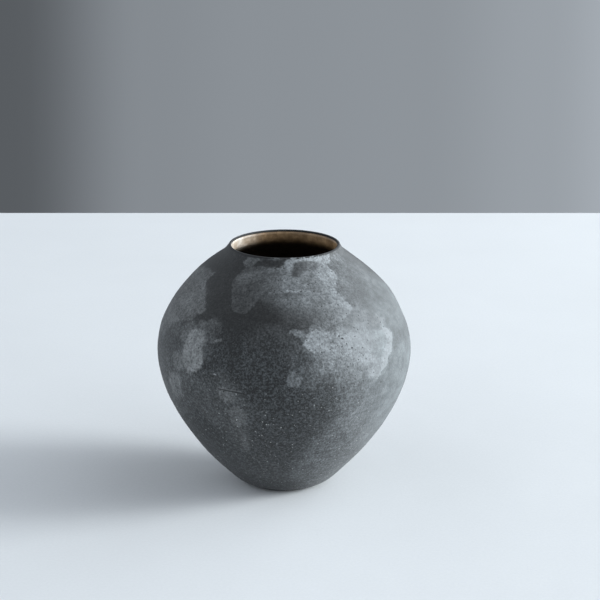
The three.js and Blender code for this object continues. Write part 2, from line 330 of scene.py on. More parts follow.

# ---------------------------------------------------------------- where the washes, and the hazes of painted light, lie
# (name, layer, density, softness of the edge in mm, (change of density per 10 mm
# round the pot, the same upwards, least, most), outline)
PATCHES = [
    # The broad pale haze over the right side is partly wash and partly painted light: it brightens that side as the
    # window light and sheen do.
    ("c_right", "C", 0.245, 8, (0, 0, 0, 1), [(22, 156), (24, 150), (39.1, 146.4), (35.0, 139.5), (27.2, 131.5), (20.9, 127.2), (12.3, 121.8), (14.4, 100.7), (21.4, 92.5), (24.4, 80.3), (23.7, 66.5), (17.2, 54.1), (12.2, 43.4), (6.4, 31.3), (6.8, 15.0), (30, 2), (80, 2), (118, 6), (128, 60), (122, 110), (98, 140), (90, 156)]),
    ("c_left_low", "C", 0.125, 4, (0, 0, 0, 1), [(-56.8, 79.0), (-45.3, 87.4), (-36.3, 92.9), (-27.4, 96.3), (-21.6, 92.5), (-18.9, 85.4), (-16.4, 79.1), (-16.0, 70.8), (-15.6, 63.6), (-16.1, 59.0), (-18.0, 45.9), (-23.1, 41.5), (-27.7, 48.6), (-35.6, 58.7), (-45.1, 65.7), (-86, 44), (-100, 56), (-98, 70)]),
    ("c_centre", "C", 0.035, 4, (0, 0.03, 0.0, 0.12), [(-19.0, 97.8), (-18.1, 110.5), (-15.3, 119.4), (-10.8, 124.0), (0.9, 125.3), (8.3, 121.0), (7.7, 111.4), (3.9, 106.0), (1.7, 99.2), (-1.4, 90.7), (-9.1, 89.1), (-15.3, 91.0)]),
    ("c_left_upper", "C", 0.34, 5, (0, 0, 0, 1), [(-67.4, 141.9), (-57.1, 135.7), (-49.2, 128.7), (-52.5, 124.7), (-58.8, 118.3), (-67.6, 111.7), (-75.7, 106.0), (-92, 96), (-100, 118), (-98, 134), (-104.2, 136.0), (-86.2, 142.3)]),
    ("a_left_upper", "A", 0.19, 0.8, (0.06, 0.0, 0.05, 0.24), [(-60.4, 144.2), (-61.8, 141.8), (-60.9, 139.2), (-55.8, 135.3), (-53.6, 133.0), (-49.8, 130.1), (-46.7, 127.0), (-48.1, 125.3), (-51.7, 124.2), (-50.7, 121.3), (-55.9, 118.4), (-59.7, 117.7), (-65.2, 115.0), (-74.6, 111.5), (-85.5, 101.9), (-88, 100), (-92, 112), (-98.0, 122.7), (-101.5, 129.0), (-103.3, 134.1), (-104.7, 137.2), (-91.2, 141.7), (-72.5, 144.5)]),
    ("a_left_fringe", "A", 0.18, 1.1, (-0.1, 0.12, 0.02, 0.28), [(-56.7, 117.7), (-52.1, 119.5), (-48.5, 119.5), (-45.6, 121.7), (-42.0, 122.0), (-39.0, 123.6), (-36.6, 123.6), (-33.2, 123.4), (-31.5, 121.7), (-31.8, 117.8), (-32.3, 113.7), (-35.1, 111.5), (-38.5, 109.0), (-43.2, 105.4), (-48.5, 105.0), (-53.6, 108.1), (-56.3, 110.4), (-57.0, 114.4)]),
    ("a_centre_upper", "A", 0.405, 0.7, (0.15, 0.03, 0.15, 0.56), [(-28.9, 129.5), (-32.0, 134.9), (-35.4, 139.5), (-37.4, 142.2), (-39.0, 145.2), (-37.3, 147.3), (-34.7, 149.5), (-29.4, 151.2), (-21.2, 152.1), (-13.8, 151.6), (-5.5, 151.5), (-0.6, 152.7), (2.9, 155.9), (4.7, 157.0), (10.8, 156.8), (23.5, 156.6), (37.2, 156.1), (47.5, 155.6), (49.8, 153.0), (44.3, 151.2), (43.6, 148.6), (45.6, 145.8), (43.0, 142.9), (39.2, 140.7), (35.0, 139.0), (24.6, 139.8), (11.8, 140.7), (-2.2, 140.9), (-8.8, 140.1), (-13.6, 138.3), (-16.4, 135.0), (-18.5, 131.9), (-19.7, 129.7), (-24.5, 129.0)]),
    ("a_rim_strip", "A", 0.3, 0.8, (0, 0, 0, 1), [(-42.4, 152.5), (-39.2, 155.4), (-34.0, 156.5), (-22.5, 156.6), (-7.7, 156.9), (-2.5, 156.6), (-7.5, 155.9), (-20.7, 155.4), (-25.6, 153.7), (-28.6, 152.1), (-30.8, 151.0), (-35.0, 150.2)]),
    ("a_between", "A", 0.12, 3, (0, 0, 0, 1), [(31.0, 125.9), (36.5, 129.1), (42.3, 131.2), (49.1, 127.7), (54.6, 121.8), (61.3, 115.1), (61.8, 111.3), (52.6, 113.1), (39.8, 116.6), (32.2, 119.3), (28.4, 122.1)]),
    ("a_below_bright", "A", 0.19, 3, (0.05, 0.05, 0.05, 0.4), [(15.1, 110.8), (21.4, 106.7), (30.8, 102.7), (43.6, 96.9), (45.9, 89.8), (42.2, 83.3), (31.1, 85.3), (20.5, 90.2), (14.2, 93.6), (12.7, 102.1)]),
    ("a_greenish", "A", 0.04, 1.6, (0, 0, 0, 1), [(6.9, 113.6), (10.4, 110.1), (13.5, 107.7), (13.1, 102.0), (11.2, 98.2), (8.5, 97.2), (6.0, 99.1), (4.8, 104.9), (5.8, 110.3)]),
    ("a_left_blob2", "A", 0.3, 1.6, (0, 0, 0, 1), [(-58.8, 98.7), (-52.9, 102.5), (-49.7, 100.8), (-49.3, 93.2), (-52.7, 89.6), (-57.2, 89.6), (-58.4, 94.3)]),
    ("a_left_blob3", "A", 0.42, 1.8, (0, 0.3, 0.1, 0.55), [(-62.6, 83.9), (-58.1, 86.4), (-52.1, 86.4), (-51.4, 83.3), (-52.9, 77.9), (-52.1, 72.1), (-57.0, 67.9), (-61.8, 70.6), (-64.0, 75.9)]),
    ("a_low4", "A", 0.12, 1.6, (0, 0, 0, 1), [(-21.9, 57.9), (-18.1, 58.6), (-17.2, 50.9), (-18.5, 43.2), (-21.6, 40.1), (-22.6, 48.2)]),
    ("a_low5", "A", 0.04, 1.6, (0, 0, 0, 1), [(-16.7, 73.5), (-13.7, 78.1), (-10.1, 78.5), (-7.2, 73.9), (-8.7, 68.1), (-13.6, 64.6), (-16.8, 66.4)]),
    ("b_left_blob", "B", 1.0, 1.7, (0, 0.1, 0.6, 1.0), [(-50.0, 115.1), (-45.7, 117.1), (-41.0, 116.6), (-38.6, 112.3), (-38.9, 109.2), (-39.0, 105.1), (-38.1, 100.1), (-39.6, 95.3), (-42.8, 92.0), (-46.9, 90.7), (-49.4, 93.2), (-50.2, 96.3), (-50.4, 100.6), (-51.8, 103.3), (-50.9, 106.9), (-50.4, 110.7)]),
    ("d_left_lobe", "D", 0.85, 2.6, (0, 0, 0, 1), [(-50.2, 105.6), (-49.6, 110.0), (-47.8, 112.8), (-44.6, 113.7), (-41.7, 112.2), (-41.3, 107.7), (-42.1, 103.3), (-45.2, 99.4), (-48.7, 100.1)]),
    ("b_bright", "B", 0.46, 5, (0, 0.16, 0.2, 0.6), [(10.5, 117.1), (10.1, 113.9), (11.3, 111.5), (13.1, 110.8), (14.6, 109.8), (16.3, 109.8), (15.3, 107.8), (15.2, 104.4), (16.7, 101.3), (20.7, 98.8), (25.8, 97.3), (32.1, 95.2), (37.5, 94.4), (41.0, 92.7), (43.8, 88.0), (45.1, 86.0), (46.5, 88.2), (47.6, 90.6), (50.1, 93.0), (52.6, 94.3), (53.7, 97.7), (56.7, 99.8), (58.3, 103.4), (60.4, 106.3), (61.8, 109.5), (61.1, 112.3), (59.1, 114.0), (55.1, 115.3), (51.8, 114.8), (51.5, 116.7), (45.9, 118.8), (42.0, 120.7), (37.1, 122.5), (32.8, 122.5), (29.3, 120.9), (25.2, 120.2), (22.1, 120.8), (20.0, 121.5), (17.3, 121.8), (14.6, 120.9), (12.7, 119.7), (11.0, 118.0)]),
    ("d_bright_lobe", "D", 0.9, 0.9, (-0.14, 0, 0.1, 1.0), [(10.5, 117.1), (10.1, 113.9), (11.3, 111.5), (13.1, 110.8), (14.6, 109.8), (16.3, 109.8), (18.2, 108.8), (21.3, 110.1), (23.6, 112.5), (25.1, 116.1), (24.5, 119.7), (22.1, 120.8), (20.0, 121.5), (17.3, 121.8), (14.6, 120.9), (12.7, 119.7), (11.0, 118.0)]),
    ("d_bright_mid", "D", 0.3, 3, (0, 0, 0, 1), [(21.8, 116.6), (27.6, 119.0), (34.2, 118.3), (43.4, 115.7), (50.3, 111.5), (48.2, 106.3), (41.3, 104.8), (32.3, 105.8), (25.3, 107.2), (21.9, 111.1)]),
    ("d_bright_rim", "E", 0.55, 0.6, (0.3, 0, 0.0, 0.7), [(53.6, 114.9), (56.2, 114.9), (59.1, 114.0), (61.1, 112.3), (61.8, 109.5), (60.4, 106.3), (58.3, 103.4), (56.7, 99.8), (53.7, 97.7), (52.6, 94.3), (50.1, 93.0), (47.6, 90.6), (46.5, 88.2), (45.1, 86.0), (43.8, 88.0), (43.3, 90.9), (45.9, 94.9), (49.1, 98.8), (52.3, 102.5), (54.8, 106.5), (55.9, 110.3)]),
    ("a_bright_right", "A", 0.34, 0.6, (0.11, 0.05, 0.0, 0.52), [(26.6, 119.7), (32.3, 120.9), (36.5, 120.9), (41.5, 119.5), (45.6, 118.0), (51.2, 116.2), (51.8, 114.8), (55.1, 115.3), (59.1, 114.0), (61.1, 112.3), (61.8, 109.5), (60.4, 106.3), (58.3, 103.4), (56.7, 99.8), (53.7, 97.7), (52.6, 94.3), (50.1, 93.0), (47.6, 90.6), (46.5, 88.2), (45.1, 86.0), (43.8, 88.0), (41.6, 93.2), (36.5, 96.5), (30.4, 99.2), (24.8, 102.7), (22.7, 109.8)]),
    # These broad pale hazes on the right and along the left edge are partly wash and partly painted light, standing in
    # for window light and sheen there.
    ("g_right_upper", "G", 0.235, 4, (0, 0, 0, 1), [(37.4, 156.3), (26, 153), (60, 154), (78, 147), (84, 135), (101, 124), (93, 108), (70.3, 110.7), (59.9, 113.2), (50.6, 118.4), (42.3, 124.9), (37.7, 131.0), (34.3, 138.6), (30.4, 147.3)]),
    ("g_right_low", "G", 0.27, 9, (0, 0, 0, 1), [(42.4, 81.9), (51.4, 92.9), (59.5, 101.2), (92, 98), (112, 88), (101, 72), (116, 58), (103, 44), (96, 34), (41.0, 39.7), (30.2, 64.9), (30.7, 77.4)]),
    ("g_left_edge", "G", 0.17, 6, (0, 0, 0, 1), [(-94.2, 112.7), (-75.6, 117.4), (-55.6, 119.3), (-41.5, 119.5), (-37.2, 105.8), (-41.5, 92.5), (-49.4, 76.6), (-84, 48), (-100, 60), (-100, 120)]),
    ("g_mid_top", "G", 0.03, 5, (0, 0, 0, 1), [(-21.1, 153.1), (6.7, 156.9), (22.4, 154.2), (12.2, 127.9), (3.5, 126.2), (-6.2, 130.1), (-16.9, 136.4)]),
    ("g_mid_low", "G", 0.2, 4, (0, 0, 0, 1), [(8.2, 102.4), (12.7, 103.2), (17.1, 100.4), (18.7, 94.2), (16.9, 88.2), (11.5, 87.6), (8.1, 92.9)]),
    ("e_tip", "E", 0.6, 1.6, (0, 0, 0, 1), [(35.1, 102.8), (43.6, 104.1), (47.0, 98.3), (45.9, 89.8), (42.2, 89.1), (36.4, 95.3)]),
    ("e_corner", "E", 0.14, 1.6, (0, 0, 0, 1), [(-100.2, 136.5), (-84.0, 142.3), (-60.9, 144.5), (-62.0, 141.9), (-61.4, 139.2), (-55.8, 134.9), (-52.8, 131.2), (-59.8, 130.7), (-76.3, 134.4)]),
    ("g_top_edge", "G", 0.2, 1.6, (0, 0, 0, 1), [(-37.1, 145.6), (-32.8, 148.5), (-19.7, 151.0), (-1.4, 151.5), (2.1, 148.1), (-10.3, 146.1), (-24.9, 143.9), (-31.4, 141.9)]),
    ("g_small", "G", 0.13, 1.6, (0, 0, 0, 1), [(1.5, 110.5), (4.9, 110.4), (6.1, 104.8), (5.1, 99.7), (2.1, 98.6), (1.9, 104.9)]),
    ("n_between", "N", 0.24, 3, (0, 0, 0, 1), [(16.3, 134.0), (22.8, 133.0), (29.6, 131.2), (35.0, 128.9), (31.7, 124.7), (24.9, 123.6), (18.4, 126.4), (14.7, 129.7)]),
    ("g_bright_mid", "G", 0.62, 3, (0, 0, 0, 1), [(16.7, 116.1), (22.9, 117.0), (31.1, 115.1), (33.0, 109.1), (28.1, 105.6), (20.4, 106.8), (16.2, 111.8)]),
    ("g_blob_side", "G", 0.11, 2.5, (0, 0, 0, 1), [(-43.8, 113.3), (-36.4, 116.2), (-33.0, 112.5), (-33.9, 106.6), (-36.4, 101.3), (-39.9, 101.6)]),
    ("g_lobe_top", "G", 0.25, 2, (0, 0, 0, 1), [(9.8, 121.4), (14.2, 123.7), (19.7, 122.7), (21.9, 117.6), (14.8, 117.3), (10.5, 118.2)]),
    ("e_over", "E", 0.22, 3, (0, 0, 0, 1), [(32.8, 127.2), (42.9, 127.9), (53.6, 124.9), (59.8, 118.6), (53.7, 115.2), (40.6, 118.6), (31.6, 121.0)]),
    ("e_cloud_mid", "E", 0.12, 1.6, (0, 0, 0, 1), [(-17.5, 141.6), (-9.2, 142.0), (-7.1, 137.8), (-13.1, 136.6), (-17.4, 137.8)]),
    ("e_cloud_low", "E", 0.2, 2, (0, 0, 0, 1), [(6.7, 137.8), (14.2, 137.5), (14.4, 133.7), (8.5, 133.0), (5.2, 135.0)]),
    ("e_cloud_edge", "E", 0.2, 1.5, (0, 0, 0, 1), [(18.6, 140.6), (27.6, 139.9), (27.3, 137.0), (20.4, 136.6)]),
    ("n_green", "N", 0.14, 2, (0, 0, 0, 1), [(5.9, 111.4), (12.2, 110.0), (14.3, 106.5), (13.5, 100.8), (9.9, 97.7), (5.6, 101.4)]),
    ("g_bright_side", "G", 0.3, 3, (0, 0, 0, 1), [(40.0, 117.1), (50.3, 115.0), (53.0, 110.7), (50.9, 103.0), (44.4, 101.5), (37.9, 105.7)]),
    ("b_tail", "B", 0.33, 0.5, (0, 0, 0, 1), [(2.6, 122.2), (4.4, 122.8), (7.3, 121.7), (10.2, 120.9), (12.9, 118.0), (12.1, 114.3), (9.6, 115.3), (7.6, 117.8), (4.8, 119.8), (2.3, 120.4)]),
    ("b_small_centre", "B", 0.48, 1.4, (0, 0, 0, 1), [(1.6, 96.3), (3.5, 99.7), (5.3, 98.7), (7.9, 95.5), (7.1, 91.2), (4.2, 89.7), (1.6, 92.0)]),
    ("b_low2", "B", 0.4, 1.5, (0, 0, 0, 1), [(-30.4, 87.0), (-27.3, 87.2), (-22.3, 85.0), (-21.5, 82.9), (-22.6, 79.2), (-25.4, 75.6), (-27.5, 76.9), (-28.9, 80.1)]),
    ("b_low3", "B", 0.25, 1.6, (0, 0, 0, 1), [(-24.9, 72.7), (-22.9, 74.9), (-19.7, 74.5), (-16.9, 71.4), (-17.3, 65.6), (-21.2, 59.5), (-24.1, 60.9), (-25.0, 67.8)]),
    ("b_streak", "B", 0.3, 0.5, (0, 0, 0, 1), [(-34.7, 112.4), (-32.3, 114.3), (-30.2, 114.9), (-29.7, 113.7), (-32.4, 112.0)]),
    ("b_lip_right", "B", 0.7, 0.6, (0, 0, 0, 1), [(4.4, 154.5), (7.0, 157.0), (20.4, 156.9), (31.6, 156.6), (43.1, 156.6), (54.6, 156.7), (47.8, 151.9), (40.3, 150.4), (37.6, 152.4), (33.4, 154.2), (26.5, 154.9), (17.1, 155.2), (11.8, 155.2), (8.1, 152.6), (5.1, 151.7)]),
    ("b_strip_up", "B", 0.42, 1.6, (0, 0, 0, 1), [(-0.4, 149.9), (3.4, 154.8), (7.3, 154.2), (6.4, 149.4), (6.3, 144.4), (1.8, 143.1), (-1.1, 146.3)]),
    ("b_lobe1", "B", 0.26, 1.0, (0.2, 0, 0.0, 0.42), [(31.0, 149.6), (39.7, 149.8), (44.0, 147.6), (43.3, 144.4), (40.2, 142.3), (36.6, 140.3), (32.7, 139.6), (26.8, 140.9), (26.8, 145.2)]),
    ("d_second", "D", 0.42, 0.8, (0.15, 0.27, 0.06, 0.62), [(-12.9, 138.1), (-8.8, 140.4), (-2.2, 141.2), (11.9, 141.0), (24.7, 140.0), (33.4, 139.4), (38.4, 138.7), (38.9, 134.2), (41.4, 130.4), (38.4, 127.7), (30.2, 123.9), (17.7, 122.9), (8.5, 123.6), (1.4, 126.3), (-6.3, 131.1), (-12.7, 134.7)]),
    ("b_lobe2", "B", 0.3, 1.0, (0.25, 0, 0.0, 0.5), [(30.8, 138.0), (37.8, 137.6), (38.8, 134.0), (41.0, 130.7), (37.7, 128.9), (33.9, 130.6), (30.9, 133.6), (28.3, 136.4)]),
    ("n_notch", "N", 0.56, 0.8, (-0.25, 0.1, 0.15, 0.7), [(9.8, 153.7), (11.7, 154.5), (17.0, 154.7), (26.3, 154.4), (33.1, 153.6), (35.6, 152.2), (31.4, 150.2), (26.0, 149.3), (21.6, 149.9), (15.9, 148.6), (11.0, 147.5), (7.3, 146.8), (7.2, 149.8), (9.4, 151.7)]),
    ("n_pocket", "N", 0.25, 1.4, (0, 0, 0, 1), [(-26.8, 154.2), (-18.6, 155.6), (-11.2, 155.0), (-5.9, 155.6), (-0.6, 154.7), (0.3, 152.9), (-5.6, 152.3), (-12.5, 152.5), (-19.7, 152.7), (-25.5, 151.8), (-29.0, 152.6)]),
    ("n_line", "N", 0.8, 0.8, (0, 0, 0, 1), [(-31.6, 128.7), (-26.8, 129.1), (-21.9, 129.1), (-18.7, 128.7), (-11.5, 127.6), (-4.8, 127.0), (-4.2, 125.5), (-8.9, 125.3), (-13.6, 125.6), (-18.6, 126.4), (-23.8, 127.1), (-30.2, 126.8)]),
    ("n_under", "N", 0.32, 0.6, (0, 0, 0, 1), [(-10.0, 139.6), (-2.2, 140.3), (5.7, 140.3), (13.6, 139.9), (16.1, 139.2), (13.2, 138.6), (5.6, 139.0), (-2.1, 138.9), (-9.6, 138.0)]),
    ("n_crescent", "N", 0.8, 0.7, (0, 0, 0, 1), [(1.0, 107.7), (2.0, 106.1), (2.4, 102.6), (2.3, 99.2), (1.5, 95.1), (0.2, 91.9), (-0.8, 92.6), (0.6, 97.5), (1.1, 101.5), (1.0, 105.5)]),
    ("n_band", "N", 0.6, 1.6, (0, 0, 0, 1), [(-34.7, 127.4), (-28.3, 127.3), (-22.2, 125.0), (-20.3, 115.7), (-20.6, 106.8), (-21.3, 98.6), (-23.8, 99.4), (-25.3, 108.3), (-28.7, 115.5), (-32.7, 121.4)]),
    ("n_wedge", "N", 0.44, 3.2, (0, 0, 0, 1), [(-17.3, 129.5), (-12.7, 134.7), (-5.4, 134.1), (0.4, 130.2), (-1.7, 126.3), (-8.0, 127.1), (-14.7, 128.2)]),
    ("n_left", "N", 0.35, 3.0, (0, 0, 0, 1), [(-74.9, 103.2), (-68.0, 109.1), (-57.9, 107.9), (-55.7, 102.6), (-62.7, 97.4), (-72.5, 97.8)]),
]

skin_z = skin[:, 1]
skin_s = skin_length


def arc_of_height(z):
    """Arc length up the outside for a height."""
    rising = slice(0, int(np.argmax(skin_z[:N_SKIN])) + 1)
    return np.interp(z, skin_z[rising], skin_s[rising])


def wrap(a):
    return (a + math.pi) % (2 * math.pi) - math.pi


def outline_distance(az, s, r, outline, density, slope):
    """Signed distance in mm from each point to an outline on the surface, positive inside, and the density there."""
    pa = np.radians(np.array([p[0] for p in outline]))
    ps = arc_of_height(np.array([p[1] for p in outline]))
    ref = pa.mean()
    a = wrap(az - ref)
    pa = pa - ref
    best = np.full(len(az), 1e9)
    inside = np.zeros(len(az), bool)
    n = len(pa)
    for i in range(n):
        a0, s0, a1, s1 = pa[i], ps[i], pa[(i + 1) % n], ps[(i + 1) % n]
        ux, uy = (a1 - a0) * r, s1 - s0
        wx, wy = (a - a0) * r, s - s0
        t = np.clip((wx * ux + wy * uy) / np.maximum(ux * ux + uy * uy, 1e-9), 0, 1)
        best = np.minimum(best, np.hypot(wx - t * ux, wy - t * uy))
        cross = (s0 > s) != (s1 > s)
        at = a0 + (s - s0) * (a1 - a0) / (s1 - s0 if s1 != s0 else 1e-9)
        inside ^= cross & (a < at)
    gx, gz, least, most = slope
    dens = density + (gx * a * r + gz * (s - ps.mean())) / 10
    dens = np.clip(dens, least, most) if gx or gz else np.full(len(az), density)
    return np.where(inside, best, -best), dens


def round_distance(az, s, r, lobes):
    """The same for a cloud of round lobes, (azimuth, height, radius)."""
    best = np.full(len(az), -1e9)
    for la, lz, lr in lobes:
        d = lr - np.hypot(wrap(az - math.radians(la)) * r, s - arc_of_height(np.array([lz]))[0])
        best = np.maximum(best, d)
    return best


# Round the back the same kinds of washes go on, turned past the front ones and
# shifted up or down, with a few broad thin hazes and some gaps.
AROUND = {
    "a_centre_upper": (206, -6), "d_second": (206, -5), "b_lobe1": (206, -6), "b_lobe2": (206, -5),
    "b_bright": (214, 1), "d_bright_lobe": (214, 1), "d_bright_mid": (214, 1), "a_bright_right": (214, 1), "d_bright_rim": (214, 1),
    "e_tip": (214, 1), "a_below_bright": (214, 1), "b_small_centre": (236, 12), "b_tail": (230, 12), "b_low2": (196, -16),
    "b_low3": (172, 14),
}
BEHIND = []
for name, layer, d, w, (gx, gz, least, most), pts in PATCHES:
    if name in AROUND:
        turn, lift = AROUND[name]
        BEHIND.append((name, layer, d, w, (-gx, gz, least, most), [(turn - p[0], p[1] + lift) for p in pts]))
HAZES = [
    ("C", 0.16, 7.0, [(150, 62, 16), (168, 54, 18), (186, 60, 15)]),
    ("C", 0.13, 6.0, [(214, 96, 16), (230, 84, 20), (244, 70, 14)]),
    ("C", 0.10, 5.0, [(176, 118, 12), (190, 112, 14)]),
    ("G", 0.10, 8.0, [(200, 38, 18), (220, 30, 16)]),
    ("N", 0.50, 1.4, [(158, 126, 4), (164, 122, 5)]),
    ("N", 0.40, 2.0, [(196, 84, 6), (203, 80, 5)]),
]


def wash_layers(az, s, r):
    """For each layer, (signed distance, density, softness) at each point."""
    out = {}
    for layer in "ABCDEGN":
        out[layer] = [np.full(len(az), -60.0), np.zeros(len(az)), np.ones(len(az))]
    items = [(l, w) + outline_distance(az, s, r, pts, d, slope) for _, l, d, w, slope, pts in PATCHES + BEHIND]
    items += [(l, w, round_distance(az, s, r, lobes), d) for l, d, w, lobes in HAZES]
    for l, w, dist, d in items:
        cur = out[l]
        take = dist > cur[0]
        cur[0] = np.where(take, dist, cur[0])
        cur[1] = np.where(take, d, cur[1])
        cur[2] = np.where(take, w, cur[2])
    return out


shown = s_idx < N_SKIN
arc = np.where(shown, skin_s[np.minimum(s_idx, N_SKIN - 1)], 0.0)
radius = np.maximum(s_r, 20.0)
layers = wash_layers(wrap(s_az), arc, radius)
for layer, (dist, dens, soft) in layers.items():
    attr = slip.data.attributes.new("wash_" + layer.lower(), "FLOAT_VECTOR", "POINT")
    data = np.column_stack([np.clip(dist, -30, 30), np.clip(dens, 0, 1), soft])
    data[~shown] = (-30, 0, 1)
    attr.data.foreach_set("vector", data.astype(np.float32).ravel())


# ---------------------------------------------------------------- shader helpers
class Graph:
    """Short names for building one node material."""

    def __init__(self, name):
        self.mat = bpy.data.materials.new(name)
        self.mat.use_nodes = True
        self.nt = self.mat.node_tree
        self.bsdf = self.nt.nodes["Principled BSDF"]
        self.coord = self.nt.nodes.new("ShaderNodeTexCoord").outputs["Object"]

    def put(self, socket, value):
        if isinstance(value, bpy.types.NodeSocket):
            self.nt.links.new(value, socket)
        else:
            socket.default_value = value

    def math(self, op, a, b=0.0, c=None, clamp=False):
        n = self.nt.nodes.new("ShaderNodeMath")
        n.operation = op
        n.use_clamp = clamp
        self.put(n.inputs[0], a)
        self.put(n.inputs[1], b)
        if c is not None:
            self.put(n.inputs[2], c)
        return n.outputs[0]

    def add(self, a, b):
        return self.math("ADD", a, b)

    def sub(self, a, b):
        return self.math("SUBTRACT", a, b)

    def mul(self, a, b):
        return self.math("MULTIPLY", a, b)

    def step(self, x, lo, hi, out_lo=0.0, out_hi=1.0):
        n = self.nt.nodes.new("ShaderNodeMapRange")
        n.interpolation_type = "SMOOTHSTEP"
        self.put(n.inputs["Value"], x)
        self.put(n.inputs["From Min"], lo)
        self.put(n.inputs["From Max"], hi)
        self.put(n.inputs["To Min"], out_lo)
        self.put(n.inputs["To Max"], out_hi)
        return n.outputs["Result"]

    def scaled(self, factors, offset=(0, 0, 0)):
        n = self.nt.nodes.new("ShaderNodeMapping")
        self.put(n.inputs["Vector"], self.coord)
        n.inputs["Scale"].default_value = factors
        n.inputs["Location"].default_value = offset
        return n.outputs[0]

    def noise(self, scale, detail=2.0, rough=0.55, vector=None, distortion=0.0):
        n = self.nt.nodes.new("ShaderNodeTexNoise")
        self.put(n.inputs["Vector"], vector if vector is not None else self.coord)
        n.inputs["Scale"].default_value = scale
        n.inputs["Detail"].default_value = detail
        n.inputs["Roughness"].default_value = rough
        n.inputs["Distortion"].default_value = distortion
        return n.outputs["Fac"]

    def cells(self, scale, offset=(0, 0, 0)):
        """Distance to the nearest scattered point, in metres, and that point's own random number."""
        n = self.nt.nodes.new("ShaderNodeTexVoronoi")
        self.put(n.inputs["Vector"], self.scaled((1, 1, 1), offset))
        n.inputs["Scale"].default_value = scale
        sep = self.nt.nodes.new("ShaderNodeSeparateColor")
        self.put(sep.inputs[0], n.outputs["Color"])
        return self.mul(n.outputs["Distance"], 1.0 / scale), sep.outputs[0], sep.outputs[1]

    def attribute(self, name):
        n = self.nt.nodes.new("ShaderNodeAttribute")
        n.attribute_name = name
        sep = self.nt.nodes.new("ShaderNodeSeparateXYZ")
        self.put(sep.inputs[0], n.outputs["Vector"])
        return sep.outputs[0], sep.outputs[1], sep.outputs[2]

    def segment(self, x, z, x0, z0, x1, z1, wobble):
        """Distance in metres to a line between two points of the XZ plane, a little frayed."""
        dx, dz = x1 - x0, z1 - z0
        px, pz = self.sub(x, x0), self.sub(z, z0)
        t = self.math("MULTIPLY", self.add(self.mul(px, dx), self.mul(pz, dz)), 1 / (dx * dx + dz * dz), clamp=True)
        ex, ez = self.sub(px, self.mul(t, dx)), self.sub(pz, self.mul(t, dz))
        d = self.math("SQRT", self.add(self.mul(ex, ex), self.mul(ez, ez)))
        return self.add(d, self.mul(self.sub(wobble, 0.5), 0.0007))

    def xyz(self):
        sep = self.nt.nodes.new("ShaderNodeSeparateXYZ")
        self.put(sep.inputs[0], self.coord)
        return sep.outputs[0], sep.outputs[1], sep.outputs[2]

    def mix(self, fac, a, b):
        n = self.nt.nodes.new("ShaderNodeMix")
        n.data_type = "RGBA"
        self.put(n.inputs[0], fac)
        self.put(n.inputs[6], a)
        self.put(n.inputs[7], b)
        return n.outputs[2]

    def tint(self, colour, factor):
        """A colour multiplied by a number."""
        n = self.nt.nodes.new("ShaderNodeVectorMath")
        n.operation = "SCALE"
        self.put(n.inputs[0], colour)
        self.put(n.inputs["Scale"], factor)
        return n.outputs[0]

    def bump(self, height, distance, strength=1.0, normal=None):
        n = self.nt.nodes.new("ShaderNodeBump")
        n.inputs["Strength"].default_value = strength
        n.inputs["Distance"].default_value = distance
        self.put(n.inputs["Height"], height)
        if normal is not None:
            self.put(n.inputs["Normal"], normal)
        return n.outputs[0]


def centred(g, x):
    return g.mul(g.sub(x, 0.5), 2.0)


